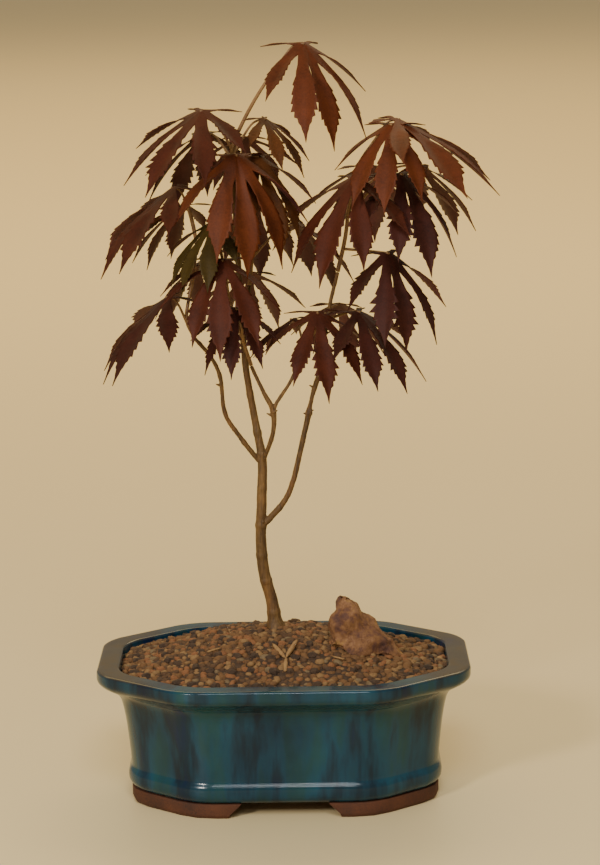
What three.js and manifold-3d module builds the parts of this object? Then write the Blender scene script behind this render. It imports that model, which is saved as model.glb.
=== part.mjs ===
// A potted Japanese maple: a slim young tree with hanging seven-lobed leaves, in a
// glazed eight-sided pot that stands on four bare clay feet.
// Millimetres, +Z up, the front faces -Y. The origin is on the ground, under the
// middle of the whole plant.

import * as THREE from 'three';
import { mergeVertices } from 'three/addons/utils/BufferGeometryUtils.js';
import Module from 'manifold-3d';

const wasm = await Module();
wasm.setup();

// ---- Driving sizes ----

const potMiddle = new THREE.Vector3(-8, 0, 0); // the crown reaches further to the right

const rimHalfLength = 102;
const rimHalfWidth = 76;
const cornerCutX = 47; // how much of the length each cut corner takes
const cornerCutY = 39; // and how much of the width
const cornerRound = 11;
const potHeight = 75.5;
const footHeight = 8.2;
const lipWidth = 12;
const wallThickness = 7;
const floorThickness = 6;
const footInset = 17.6; // of the feet's outer wall, from the rim
const footInnerInset = 31;
const archFoot = 31; // half the width of the arch between two feet, on the ground
const archTop = 22.5; // and where it meets the pot

const gap = 0.3; // clearance between pieces that touch

const soilEdgeHeight = 70.5; // a little below the rim
const soilTopHeight = 89.4; // the mound that the trunk rises from
const trunkFoot = new THREE.Vector2(-4.7, 8);
const levelRadius = 8; // of the small level place round the trunk
const pebbleSpacing = 11; // of the larger stones that stand out of the grit
const pebbleRadius = 3.5;
const pebbleMargin = 5; // that keeps them off the trunk's level place and the upright stone
const stoneFoot = new THREE.Vector2(44, -12); // middle of the upright stone
const stoneHalfLength = 21;

const leafThickness = 1.3;
const leafHeel = 1.6; // how far the blade reaches behind its heart
const edgeLift = 0.35; // how far a lobe's edges rise above its midrib, as a share of its half width
const petioleRadius = 0.75;
const petioleDrop = 22; // a leaf stalk leaves its twig this far below the leaf

// ---- Materials ----

const paint = (name, color, roughness, metalness = 0) =>
  Object.assign(new THREE.MeshStandardMaterial({ color, roughness, metalness }), { name });

const glaze = paint('glaze', 0x1d4a52, 0.18);
const clay = paint('bare_clay', 0x8f4a22, 0.85);
const grit = paint('grit', 0x77583a, 0.95);
const rock = paint('rock', 0xa9713d, 0.9);
const bark = paint('bark', 0x5f4127, 0.8);
const foliage = paint('foliage', 0x5b2418, 0.6);

// ---- Solids ----

// A closed solid from rings of points. Each ring runs anticlockwise round the way
// forward; a ring of one point is a tip. Open ends are closed by a fan.
function loft(rings) {
  const position = [];
  const starts = [];
  for (const ring of rings) {
    starts.push(position.length / 3);
    for (const point of ring) {
      position.push(point.x, point.y, point.z);
    }
  }
  const index = [];
  for (let k = 0; k + 1 < rings.length; k++) {
    const lower = rings[k].length;
    const upper = rings[k + 1].length;
    const count = Math.max(lower, upper);
    for (let i = 0; i < count; i++) {
      const j = (i + 1) % count;
      const a = starts[k] + (lower > 1 ? i : 0);
      const b = starts[k] + (lower > 1 ? j : 0);
      const c = starts[k + 1] + (upper > 1 ? j : 0);
      const d = starts[k + 1] + (upper > 1 ? i : 0);
      if (lower > 1) index.push(a, b, c);
      if (upper > 1) index.push(a, c, d);
    }
  }
  const last = rings.length - 1;
  const fan = (start, count, flip) => {
    for (let i = 2; i < count; i++) {
      const j = (i + 1) % count;
      index.push(start + 1, start + (flip ? j : i), start + (flip ? i : j));
    }
  };
  fan(starts[0], rings[0].length, true);
  fan(starts[last], rings[last].length, false);
  const geometry = new THREE.BufferGeometry();
  geometry.setAttribute('position', new THREE.Float32BufferAttribute(position, 3));
  geometry.setIndex(index);
  return toSolid(geometry);
}

function toSolid(source) {
  const bare = source.index ? source.clone() : source;
  bare.deleteAttribute('normal');
  bare.deleteAttribute('uv');
  const merged = mergeVertices(bare, 1e-5);
  return new wasm.Manifold(new wasm.Mesh({
    numProp: 3,
    vertProperties: new Float32Array(merged.attributes.position.array),
    triVerts: new Uint32Array(merged.index.array),
  }));
}

function toGeometry(solid) {
  const mesh = solid.getMesh();
  const geometry = new THREE.BufferGeometry();
  geometry.setAttribute('position', new THREE.BufferAttribute(new Float32Array(mesh.vertProperties), 3));
  geometry.setIndex(new THREE.BufferAttribute(new Uint32Array(mesh.triVerts), 1));
  return geometry;
}

const joined = (solids) => solids.reduce((whole, solid) => whole.add(solid));

function largestPiece(solid) {
  const pieces = solid.decompose();
  return pieces.reduce((best, piece) => (piece.volume() > best.volume() ? piece : best));
}

function box(minimum, maximum) {
  const size = maximum.clone().sub(minimum);
  const geometry = new THREE.BoxGeometry(size.x, size.y, size.z);
  const centre = minimum.clone().add(maximum).multiplyScalar(0.5);
  geometry.translate(centre.x, centre.y, centre.z);
  return toSolid(geometry);
}

const group = new THREE.Group();

function addPiece(name, solid, material) {
  const mesh = new THREE.Mesh(toGeometry(solid), material.clone());
  mesh.name = name;
  group.add(mesh);
}

// A point given from the middle of the pot's underside
const at = (x, y, z) => new THREE.Vector3(x, y, z).add(potMiddle);

// ---- Pot ----

// The pot's outline at one height: a rectangle with cut, slightly rounded corners,
// moved in evenly by the inset
function potRing(inset, z) {
  const halfLength = rimHalfLength - inset;
  const halfWidth = rimHalfWidth - inset;
  const slant = Math.atan2(cornerCutX, cornerCutY);
  const flatX = rimHalfLength - cornerCutX - inset * Math.tan((Math.PI / 2 - slant) / 2);
  const flatY = rimHalfWidth - cornerCutY - inset * Math.tan(slant / 2);
  const corners = [
    [halfLength, -flatY], [halfLength, flatY], [flatX, halfWidth], [-flatX, halfWidth],
    [-halfLength, flatY], [-halfLength, -flatY], [-flatX, -halfWidth], [flatX, -halfWidth],
  ].map(([x, y]) => at(x, y, z));
  const ring = [];
  corners.forEach((corner, i) => {
    const before = corners[(i + 7) % 8];
    const after = corners[(i + 1) % 8];
    const arrive = corner.clone().add(before.clone().sub(corner).setLength(cornerRound));
    const leave = corner.clone().add(after.clone().sub(corner).setLength(cornerRound));
    const middle = arrive.clone().add(leave).addScaledVector(corner, 2).multiplyScalar(0.25);
    ring.push(arrive, middle, leave);
  });
  return ring;
}

const potBottom = footHeight + gap;

// Inset from the rim and height, up the outside: base moulding, flared wall, cove, lip
const outside = [
  [18.6, potBottom], [16.9, 11.5], [16.3, 14.5], [16.9, 17.5], [17.4, 19.5],
  [17.1, 27], [16, 38], [14.6, 49], [12.9, 57.5], [9.8, 62.4], [4.6, 65.6],
  [0.6, 68.6], [0, 70], [0, 74.3], [1.2, potHeight],
];

// Down the inside, from well above the rim to the floor
const inside = [
  [lipWidth, potHeight + 25], [lipWidth, potHeight - 3], [13 + wallThickness, 60],
  [16 + wallThickness, 38], [17.4 + wallThickness, potBottom + 2 * floorThickness],
  [23 + wallThickness, potBottom + floorThickness],
];

const hollow = loft(inside.map(([inset, z]) => potRing(inset, z)).reverse());

function pot() {
  return loft(outside.map(([inset, z]) => potRing(inset, z))).subtract(hollow);
}

// Four feet: the ring under the pot's edge, parted in the middle of each side by a
// low arch with sloping ends
function feet() {
  const outer = loft([
    potRing(footInset + 1.3, 0), potRing(footInset, 2), potRing(footInset, footHeight),
  ]);
  const inner = loft([potRing(footInnerInset, -1), potRing(footInnerInset, footHeight + 1)]);
  const reach = rimHalfLength + 10;
  const section = new THREE.Shape([
    new THREE.Vector2(-archFoot, -1), new THREE.Vector2(archFoot, -1),
    new THREE.Vector2(archFoot - 1.5, 2.4), new THREE.Vector2(archFoot - 5, 5.6),
    new THREE.Vector2(archTop, footHeight + 1), new THREE.Vector2(-archTop, footHeight + 1),
    new THREE.Vector2(5 - archFoot, 5.6), new THREE.Vector2(1.5 - archFoot, 2.4),
  ]);
  const arch = new THREE.ExtrudeGeometry(section, { depth: 2 * reach, bevelEnabled: false });
  arch.rotateX(Math.PI / 2);
  arch.translate(0, reach, 0);
  const along = arch.clone().translate(potMiddle.x, potMiddle.y, 0);
  const across = arch.clone().scale(0.5, 1, 1).rotateZ(Math.PI / 2)
    .translate(potMiddle.x, potMiddle.y, 0);
  return outer.subtract(inner).subtract(toSolid(along)).subtract(toSolid(across)).decompose();
}

// ---- Soil and stone ----

const soilEdge = potRing(lipWidth, soilEdgeHeight);
const soilPeak = at(trunkFoot.x, trunkFoot.y, soilTopHeight);

// A point on the mound, some share of the way up from a point of its edge
function moundPoint(edgePoint, share) {
  const spot = edgePoint.clone().lerp(soilPeak, share);
  const rise = Math.sin(share * Math.PI / 2) ** 1.1;
  spot.z = THREE.MathUtils.lerp(soilEdgeHeight, soilTopHeight - 0.4, rise);
  return spot;
}

// Larger stones in rings round the mound, half sunk, clear of the trunk and the upright stone
function pebbles() {
  const random = seeded(53);
  const edge = new THREE.CatmullRomCurve3(soilEdge, true, 'catmullrom', 0.5);
  const ringCount = Math.floor((rimHalfWidth - lipWidth - levelRadius) / pebbleSpacing);
  const found = [];
  for (let ring = 0; ring < ringCount; ring++) {
    const share = (ring + 0.5) / (ringCount + 0.5);
    const count = Math.floor(edge.getLength() * (1 - share) / pebbleSpacing);
    for (let i = 0; i < count; i++) {
      const along = (i + 0.5 * (ring % 2) + 0.4 * random()) / count;
      const spot = moundPoint(edge.getPointAt(along % 1), share + 0.03 * random());
      const pebble = new THREE.IcosahedronGeometry(pebbleRadius);
      pebble.scale(0.9 + 0.4 * random(), 0.65 + 0.25 * random(), 0.55 + 0.2 * random());
      pebble.rotateZ(Math.PI * random());
      pebble.translate(spot.x, spot.y, spot.z);
      const toStone = spot.distanceTo(at(stoneFoot.x, stoneFoot.y, spot.z));
      const toTrunk = spot.distanceTo(soilPeak.clone().setZ(spot.z));
      const isClear = toStone > stoneHalfLength + pebbleMargin && toTrunk > levelRadius + pebbleMargin;
      if (isClear) found.push(toSolid(pebble));
    }
  }
  return joined(found);
}

// The grit fills the pot and mounds up to a small level place at the trunk's foot
function soil() {
  const fill = loft(inside.map(([inset, z]) => potRing(inset + gap, z + gap)).reverse());
  const mound = [0.12, 0.3, 0.5, 0.7, 0.86].map((share) => (
    soilEdge.map((point) => moundPoint(point, share))
  ));
  const level = soilEdge.map((point) => {
    const away = point.clone().sub(soilPeak).setZ(0).setLength(levelRadius);
    return soilPeak.clone().add(away);
  });
  const heap = loft([potRing(lipWidth, 0), soilEdge, ...mound, level]);
  return fill.intersect(heap.add(pebbles()));
}

const soilSolid = soil();

// An upright stone: a peak on the left that falls to a shoulder on the right
function stone() {
  const centre = at(stoneFoot.x, stoneFoot.y, 0);
  const outlines = [
    [66, stoneHalfLength, 15, 0], [80, 20, 14, -0.5], [88, 17.5, 12, -1.5], [95, 13.5, 9.5, -4],
    [102, 8.5, 7, -7.5], [108, 5.2, 4.6, -10], [112, 2.4, 2.2, -11],
  ];
  const rough = seeded(41);
  const sides = 10;
  const wobble = Array.from({ length: sides }, () => 0.86 + 0.28 * rough());
  const rings = outlines.map(([z, halfX, halfY, shift]) => wobble.map((size, i) => {
    const turn = 2 * Math.PI * i / sides;
    const stretch = size * (0.95 + 0.1 * rough());
    return new THREE.Vector3(
      centre.x + shift + halfX * stretch * Math.cos(turn),
      centre.y + halfY * stretch * Math.sin(turn),
      z + 1.6 * (rough() - 0.5),
    );
  }));
  return loft(rings).subtract(soilSolid.translate([0, 0, gap]));
}

// ---- Trunk and boughs ----

// The same seed always gives the same row of numbers from 0 to 1
function seeded(seed) {
  let state = seed >>> 0;
  return () => {
    state = (state + 0x6d2b79f5) >>> 0;
    let t = state;
    t = Math.imul(t ^ (t >>> 15), t | 1);
    t ^= t + Math.imul(t ^ (t >>> 7), t | 61);
    return ((t ^ (t >>> 14)) >>> 0) / 4294967296;
  };
}

// A tapering limb through points of x, y, z and radius, grown by an even skin
function limb(path, sides, steps, skin = 0) {
  const points = path.map(([x, y, z]) => at(x, y, z));
  const curve = new THREE.CatmullRomCurve3(points, false, 'catmullrom', 0.5);
  const chord = points[points.length - 1].clone().sub(points[0]);
  const reference = Math.abs(chord.y) > 0.8 * chord.length()
    ? new THREE.Vector3(1, 0, 0) : new THREE.Vector3(0, 1, 0);
  const rings = [];
  for (let k = 0; k <= steps; k++) {
    const t = k / steps;
    const place = t * (path.length - 1);
    const i = Math.min(Math.floor(place), path.length - 2);
    const radius = THREE.MathUtils.lerp(path[i][3], path[i + 1][3], place - i) + skin;
    const forward = curve.getTangent(t);
    const side = new THREE.Vector3().crossVectors(reference, forward).normalize();
    const other = new THREE.Vector3().crossVectors(forward, side);
    const centre = curve.getPoint(t);
    if (k === steps) centre.addScaledVector(forward, skin);
    rings.push(Array.from({ length: sides }, (_, n) => {
      const turn = 2 * Math.PI * n / sides;
      return centre.clone()
        .addScaledVector(side, radius * Math.cos(turn))
        .addScaledVector(other, radius * Math.sin(turn));
    }));
  }
  return loft(rings);
}

// Points are x, y, z and the limb's radius there
const trunkPath = [
  [-4.2, 8, 88, 6], [-5, 8, 94.5, 3.9], [-6.4, 8, 105, 3.3], [-10.3, 7, 121, 3.2],
  [-11.7, 6, 139, 3], [-10.9, 5, 162, 2.8], [-10.3, 4, 185, 2.5], [-13.8, 4, 207, 2],
  [-18.6, 3, 240, 1.8], [-21.4, 2, 295, 1.6], [-23.2, 0, 341, 1.3],
];

// The middle bough forks at its knuckle, so its right arm is a limb of its own
const boughPaths = {
  bough_left: [
    [-10, 4, 182, 1.4], [-15, 2, 188.5, 1.4], [-22, -1, 198.6, 1.3], [-29.9, -4, 212.5, 1.2],
    [-32.1, -6, 232.7, 1.15], [-37.3, -7, 244.5, 1.1], [-45.5, -8, 254.6, 1],
  ],
  bough_right: [
    [-11, 5, 148, 1.8], [-6, 4.5, 152.5, 1.8], [4.8, 2, 168, 1.5], [13.5, 0, 201.8, 1.4],
    [17.6, 0, 221, 1.4], [20.2, 1, 228.5, 1.7], [22.6, 1.5, 236, 1.3], [24.5, 2, 251, 1.2],
    [28, 2, 270.6, 1.2], [32.3, 1, 288, 1.1],
  ],
  bough_middle: [
    [-10.3, 4, 183, 1.4], [-8.4, 1, 188, 1.3], [-4, -4, 201, 1.2], [-3.7, -6, 213.6, 1.6],
    [-8.6, -7, 224, 1.1], [-15.2, -7, 238.7, 1],
  ],
  bough_back: [
    [-18.8, 3, 243, 1.4], [-19, 8, 250, 1.3], [-18, 18, 262, 1.2], [-16, 27, 278, 1.1],
  ],
  bough_middle_fork: [
    [-3.7, -6, 213, 1], [-1.2, -6, 219, 1], [5.6, -6, 229, 0.9], [10.8, -5, 240.2, 0.9],
  ],
};

function trunk(skin = 0) {
  const whole = limb(trunkPath, 8, 24, skin);
  const flatCut = soilTopHeight + gap - skin;
  return whole.subtract(box(at(-60, -60, 0), at(60, 60, flatCut)));
}

// ---- Foliage ----

// The lobes in order round the heart: degrees from the middle lobe, and length
const lobeTurns = [-122, -75, -37, 0, 37, 75, 122];
const lobeLengths = [0.34, 0.74, 0.93, 1, 0.93, 0.74, 0.34];
// Shoulders of a lobe: place along it and half its width there, as shares of its length
const shoulders = [[0.32, 0.07], [0.58, 0.108]];
const notchShare = 0.22; // how far from the heart the notch between two lobes lies
const lobeClearance = 0.25; // widest that a lobe may be, as a share of its distance out

const direction = (heading, pitch) => new THREE.Vector3(
  Math.cos(heading) * Math.cos(pitch), Math.sin(heading) * Math.cos(pitch), -Math.sin(pitch),
);

// How steeply a lobe hangs, some share of the way to its tip
const pitchAt = (droop, share) => droop * (0.75 + 0.5 * share);

// A point on a lobe's midrib, which bows down steadily from the heart to the tip
function ribPoint(heart, { heading, length, droop }, share) {
  const steps = 4;
  const point = heart.clone();
  for (let k = 0; k < steps; k++) {
    const pitch = pitchAt(droop, share * (k + 0.5) / steps);
    point.addScaledVector(direction(heading, pitch), share * length / steps);
  }
  return point;
}

// A leaf: one keeled blade whose lobes fan out from its heart and bow down, the side
// lobes shorter and flatter. Upper and lower faces share the outline.
function leaf(heart, headingDegrees, length, droopDegrees, random) {
  const lobes = lobeTurns.map((turn, i) => ({
    heading: THREE.MathUtils.degToRad(headingDegrees + turn + 8 * (random() - 0.5)),
    length: length * lobeLengths[i] * (0.94 + 0.12 * random()),
    droop: THREE.MathUtils.degToRad(droopDegrees)
      * Math.cos(THREE.MathUtils.degToRad(0.7 * turn)) * (0.94 + 0.12 * random()),
  }));
  const outline = [];
  const keels = [{ point: heart.clone(), up: new THREE.Vector3(0, 0, 1) }];
  const rear = direction(THREE.MathUtils.degToRad(headingDegrees), 0).multiplyScalar(-leafHeel);
  outline.push(heart.clone().add(rear));
  lobes.forEach((one, i) => {
    const across = new THREE.Vector3(-Math.sin(one.heading), Math.cos(one.heading), 0);
    const sides = [[], []];
    for (const [share, halfWidth] of shoulders) {
      const rib = ribPoint(heart, one, share);
      const away = Math.hypot(rib.x - heart.x, rib.y - heart.y);
      const half = Math.min(halfWidth * one.length, lobeClearance * away);
      const onward = direction(one.heading, pitchAt(one.droop, share));
      const up = new THREE.Vector3().crossVectors(onward, across);
      const edge = rib.clone().addScaledVector(up, edgeLift * half);
      sides[0].push(edge.clone().addScaledVector(across, -half));
      sides[1].unshift(edge.clone().addScaledVector(across, half));
      keels.push({ point: rib, up });
    }
    outline.push(...sides[0], ribPoint(heart, one, 1), ...sides[1]);
    if (i + 1 === lobes.length) return;
    const next = lobes[i + 1];
    const between = {
      heading: (one.heading + next.heading) / 2,
      length: Math.min(one.length, next.length),
      droop: (one.droop + next.droop) / 2,
    };
    outline.push(ribPoint(heart, between, notchShare));
  });
  const position = outline.flatMap((point) => point.toArray());
  for (const lift of [leafThickness / 2, -leafThickness / 2]) {
    position.push(...keels.flatMap(({ point, up }) => point.clone().addScaledVector(up, lift).toArray()));
  }
  const index = [];
  for (const face of [0, 1]) {
    const keel = (n) => outline.length + face * keels.length + n;
    const triangle = (a, b, c) => index.push(...(face ? [a, c, b] : [a, b, c]));
    lobes.forEach((_, i) => {
      const start = 6 * i;
      const [notch, low, high, tip, farHigh, farLow, farNotch] =
        [0, 1, 2, 3, 4, 5, 6].map((n) => (start + n) % outline.length);
      const [inner, outer] = [keel(1 + 2 * i), keel(2 + 2 * i)];
      triangle(keel(0), notch, inner);
      triangle(notch, low, inner);
      triangle(low, outer, inner);
      triangle(low, high, outer);
      triangle(high, tip, outer);
      triangle(tip, farHigh, outer);
      triangle(farHigh, farLow, outer);
      triangle(farLow, inner, outer);
      triangle(farLow, farNotch, inner);
      triangle(farNotch, keel(0), inner);
    });
  }
  const geometry = new THREE.BufferGeometry();
  geometry.setAttribute('position', new THREE.Float32BufferAttribute(position, 3));
  geometry.setIndex(index);
  return toSolid(geometry);
}

// A leaf stalk from the twig's nearest lower point, arched over into the heart
function petiole(stem, heart, headingDegrees) {
  const aim = heart.clone().setZ(heart.z - petioleDrop);
  const root = stem.reduce((best, point) => (
    point.distanceTo(aim) < best.distanceTo(aim) ? point : best));
  const heading = direction(THREE.MathUtils.degToRad(headingDegrees), 0);
  const end = heart.clone().addScaledVector(heading, 1.5).sub(new THREE.Vector3(0, 0, 0.6));
  const bend = root.clone().lerp(heart, 0.6);
  bend.z = THREE.MathUtils.lerp(root.z, heart.z, 0.82);
  const path = [root, bend, end].map((point) => {
    const local = point.clone().sub(potMiddle);
    return [local.x, local.y, local.z, petioleRadius];
  });
  return limb(path, 3, 4);
}

// Each spray keeps to its own space. Its plan is the path of its stem (x, y, z, radius)
// and a row for each leaf: x, y, z of its heart, heading (0 is +X, -90 the front),
// length and droop
const sprays = {
  crown_top: {
    stem: [
      [-23.2, 0, 341.4, 1.3], [-23.5, -1, 355, 1.1], [-17.3, -2, 370, 1], [-6.8, -6, 388, 0.9],
      [6, -9, 405, 0.8],
    ],
    leaves: [
      [15, -10, 412, -52, 64, 62], [-6, -2, 372, -30, 38, 52], [-39, -6, 377, -129, 63, 45],
      [-21, -16, 354, -76, 72, 72], [-10, -2, 352, -64, 60, 67], [-38, 13, 364, 128, 56, 55],
      [-17, 14, 361, 88, 46, 50],
    ],
  },
  crown_left: {
    stem: [
      [-45.6, -8, 255, 1.1], [-49.5, -8, 266, 1], [-46, -2, 286, 0.9], [-44, 3, 306, 0.8],
      [-47, 2, 324, 0.8],
    ],
    leaves: [
      [-55, -2, 336, -170, 64, 48], [-59, -10, 278, -165, 63, 52], [-51, 22, 324, 140, 48, 52],
      [-42, 17, 293, 138, 44, 58],
    ],
  },
  crown_middle: {
    stem: [
      [-15.2, -7, 239.2, 1.1], [-20.7, -12, 258, 1], [-26.5, -15, 278, 0.9],
      [-29, -15, 296, 0.8], [-32, -13, 308, 0.8],
    ],
    leaves: [
      [-34, -12, 318, -133, 48, 60], [-29, -22, 299, -95, 60, 62], [-22, -24, 273, -96, 43, 58],
    ],
  },
  crown_low: {
    stem: [
      [10.9, -5, 240.6, 1], [16.9, -7, 253, 0.9], [24, -7, 262, 0.8], [34, -6, 266, 0.8],
    ],
    leaves: [
      [21, -14, 269, -78, 52, 56], [43, -7, 268, -38, 56, 50], [8, 10, 262, 165, 36, 45],
      [33, 18, 269, 76, 48, 52],
    ],
  },
  crown_right: {
    stem: [
      [32.3, 1, 288.4, 1.2], [36.8, 1, 308, 1.1], [41, -1, 339, 0.9], [52, -3, 358, 0.8],
      [60, -5, 366, 0.8],
    ],
    leaves: [
      [42, -14, 341, -122, 64, 58], [65, -6, 371, -12, 70, 38], [62, -14, 369, -100, 56, 60],
      [67, -8, 342, -58, 60, 60], [59, -10, 300, -56, 60, 68], [50, 22, 344, 86, 57, 56],
      [76, 16, 345, 48, 54, 52],
    ],
  },
  crown_back: {
    stem: [
      [-16, 27.2, 278.4, 1.2], [-14, 31, 296, 1], [-12, 34, 314, 0.8],
    ],
    leaves: [
      [-12, 42, 325, 92, 58, 58], [11, 32, 312, 40, 50, 55], [-16, 42, 284, 92, 52, 58],
    ],
  },
};

const meets = (a, b) => a.intersect(b).volume() > 1e-5;

// A spray keeps to its own space: a leaf that would touch a limb or an earlier spray
// is left out, and its stem starts just clear of the limb that it grows from
function spray(seed, { stem, leaves }, limbs, others) {
  const random = seeded(seed);
  const points = stem.map(([x, y, z]) => at(x, y, z));
  const nodes = new THREE.CatmullRomCurve3(points, false, 'catmullrom', 0.5).getPoints(12).slice(2);
  const grown = [limb(stem, 5, 8)];
  for (const [x, y, z, heading, length, droop] of leaves) {
    const heart = at(x, y, z);
    const blade = leaf(heart, heading, length, droop, random);
    const whole = blade.add(petiole(nodes, heart, heading));
    if (![...limbs, ...others].some((other) => meets(whole, other))) grown.push(whole);
  }
  return largestPiece(limbs.reduce((whole, one) => whole.subtract(one), joined(grown)));
}

// ---- The plant ----

addPiece('pot', pot(), glaze);
feet().forEach((foot) => {
  const { min, max } = foot.boundingBox();
  const side = min[0] + max[0] < 2 * potMiddle.x ? 'left' : 'right';
  const end = min[1] + max[1] < 2 * potMiddle.y ? 'front' : 'back';
  addPiece(`foot_${end}_${side}`, foot, clay);
});
addPiece('soil', soilSolid, grit);
addPiece('stone', stone(), rock);
addPiece('trunk', trunk(), bark);

// Each bough is cut clear of the trunk and of the boughs before it
const keepClear = [trunk(gap)];
for (const [name, path] of Object.entries(boughPaths)) {
  const whole = limb(path, 6, 2 * path.length);
  const cut = keepClear.reduce((rest, other) => rest.subtract(other), whole);
  addPiece(name, largestPiece(cut), bark);
  keepClear.push(limb(path, 6, 2 * path.length, gap));
}

const masses = [];
Object.entries(sprays).forEach(([name, plan], i) => {
  const solid = spray(101 + i, plan, keepClear, masses);
  addPiece(name, solid, foliage);
  masses.push(solid);
});

export default group;
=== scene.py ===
# Potted Japanese maple: a young bonsai in a glazed eight-sided pot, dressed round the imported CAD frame
import math

import bmesh
import bpy
import numpy as np
from mathutils import Euler, Matrix, Vector, noise
from mathutils.bvhtree import BVHTree


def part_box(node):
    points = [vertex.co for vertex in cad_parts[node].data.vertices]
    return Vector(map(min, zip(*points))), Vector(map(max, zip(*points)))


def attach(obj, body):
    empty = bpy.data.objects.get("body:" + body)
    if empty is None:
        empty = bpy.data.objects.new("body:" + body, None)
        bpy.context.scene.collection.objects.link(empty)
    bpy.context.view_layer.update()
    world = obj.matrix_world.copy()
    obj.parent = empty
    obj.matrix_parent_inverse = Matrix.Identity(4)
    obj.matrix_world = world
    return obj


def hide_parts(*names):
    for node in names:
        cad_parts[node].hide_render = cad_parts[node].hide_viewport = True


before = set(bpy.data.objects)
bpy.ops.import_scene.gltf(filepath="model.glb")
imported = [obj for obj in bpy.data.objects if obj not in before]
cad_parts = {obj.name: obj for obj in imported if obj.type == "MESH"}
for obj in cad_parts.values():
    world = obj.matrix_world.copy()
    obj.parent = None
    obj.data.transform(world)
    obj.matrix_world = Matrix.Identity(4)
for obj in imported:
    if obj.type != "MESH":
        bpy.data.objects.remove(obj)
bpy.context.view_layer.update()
mm = 0.001  # shapes are given in millimetres and degrees, and the camera and the lamps in metres
potLow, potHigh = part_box("pot")
potMiddle = Vector(((potLow.x + potHigh.x) / 2, (potLow.y + potHigh.y) / 2, 0))


def at(x, y, z):  # millimetres from the middle of the pot's underside
    return Vector((x * mm, y * mm, z * mm)) + potMiddle


def seeded(seed):  # the same row of numbers, from 0 to 1, that the solids were grown with
    word = 0xFFFFFFFF
    state = seed & word

    def draw():
        nonlocal state
        state = (state + 0x6D2B79F5) & word
        t = ((state ^ (state >> 15)) * (state | 1)) & word
        t ^= (t + (((t ^ (t >> 7)) * (t | 61)) & word)) & word
        return ((t ^ (t >> 14)) & word) / (word + 1)

    return draw


def between(ends, share):
    return ends[0] + share * (ends[1] - ends[0])


def deselect():
    if bpy.context.mode != "OBJECT":
        bpy.ops.object.mode_set(mode="OBJECT")
    bpy.ops.object.select_all(action="DESELECT")


def pick(obj):
    deselect()
    bpy.context.view_layer.objects.active = obj
    obj.select_set(True)


def editAll(obj):  # edit mode with everything selected
    pick(obj)
    bpy.ops.object.mode_set(mode="EDIT")
    bpy.ops.mesh.select_all(action="SELECT")


def settle(obj):  # place goes into the mesh, so the object itself sits at the origin
    pick(obj)
    bpy.ops.object.transform_apply(location=True, rotation=True, scale=True)
    return obj


def applyAll(obj):
    pick(obj)
    for modifier in list(obj.modifiers):
        bpy.ops.object.modifier_apply(modifier=modifier.name)


def paint(obj, *materials):
    obj.data.materials.clear()
    for material in materials:
        obj.data.materials.append(material)


def dress(obj, slot, *nodes):  # every piece rides on the one body
    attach(obj, "root")
    if nodes:
        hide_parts(*nodes)
    print(obj.name, len(obj.data.polygons), "faces")


def roughen(obj, shift):  # moves each point along its normal by shift(place), in millimetres
    mesh = obj.data
    places, normals = np.empty((2, len(mesh.vertices), 3), np.float32)
    mesh.vertices.foreach_get("co", places.ravel())
    mesh.vertices.foreach_get("normal", normals.ravel())
    lift = np.array([shift(Vector(place)) for place in places])
    mesh.vertices.foreach_set("co", (places + mm * lift[:, None] * normals).astype(np.float32).ravel())
    mesh.update()


def newObject(name, mesh):
    obj = bpy.data.objects.new(name, mesh)
    bpy.context.scene.collection.objects.link(obj)
    return obj


def meshPiece(name, parts):  # one smooth object from many small lists of points and faces
    points, faces = [], []
    for more, moreFaces in parts:
        start = len(points)
        points.extend([tuple(point) for point in more])
        faces.extend([tuple(start + i for i in face) for face in moreFaces])
    mesh = bpy.data.meshes.new(name)
    mesh.from_pydata(points, [], faces)
    mesh.update()
    mesh.polygons.foreach_set("use_smooth", [True] * len(mesh.polygons))
    return newObject(name, mesh)


copySetup = {
    "mergeWithin": 0.01,
    "flatWithin": 5,  # degrees, for two triangles that become one face
    "skewWithin": 60,
}


def copyNode(node, name):  # a merged copy of a CAD node, to model on
    obj = newObject(name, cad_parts[node].data.copy())
    editAll(obj)
    bpy.ops.mesh.remove_doubles(threshold=copySetup["mergeWithin"] * mm)
    bpy.ops.mesh.tris_convert_to_quads(
        face_threshold=math.radians(copySetup["flatWithin"]),
        shape_threshold=math.radians(copySetup["skewWithin"]),
    )
    bpy.ops.object.mode_set(mode="OBJECT")
    return obj


def setInputs(node, values):
    for socket, value in values.items():
        node.inputs[socket].default_value = value


def addNode(tree, kind, x, y, inputs={}, **values):
    node = tree.nodes.new(kind)
    node.location = (x, y)
    for key, value in values.items():
        setattr(node, key, value)
    setInputs(node, inputs)
    return node


def wire(tree, *rows):  # each row: a node and its output, then the node and the input that it feeds
    for source, output, target, socket in rows:
        tree.links.new(source.outputs[output], target.inputs[socket])


def rampNode(tree, x, y, stops):
    ramp = addNode(tree, "ShaderNodeValToRGB", x, y)
    elements = ramp.color_ramp.elements
    while len(elements) < len(stops):
        elements.new(0.5)
    for element, (place, color) in zip(elements, stops):
        element.position = place
        element.color = (*color, 1)
    return ramp


def newMaterial(name, sockets):
    material = bpy.data.materials.new(name)
    material.use_nodes = True
    shader = material.node_tree.nodes["Principled BSDF"]
    setInputs(shader, sockets)
    return material, material.node_tree, shader


speckleInputs = [  # what a material's "grain" gives, in this order
    ("Coarse Scale", "NodeSocketFloat"), ("Fine Scale", "NodeSocketFloat"),
    ("Stretch", "NodeSocketVector"), ("Fine Share", "NodeSocketFloat"),
]


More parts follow.
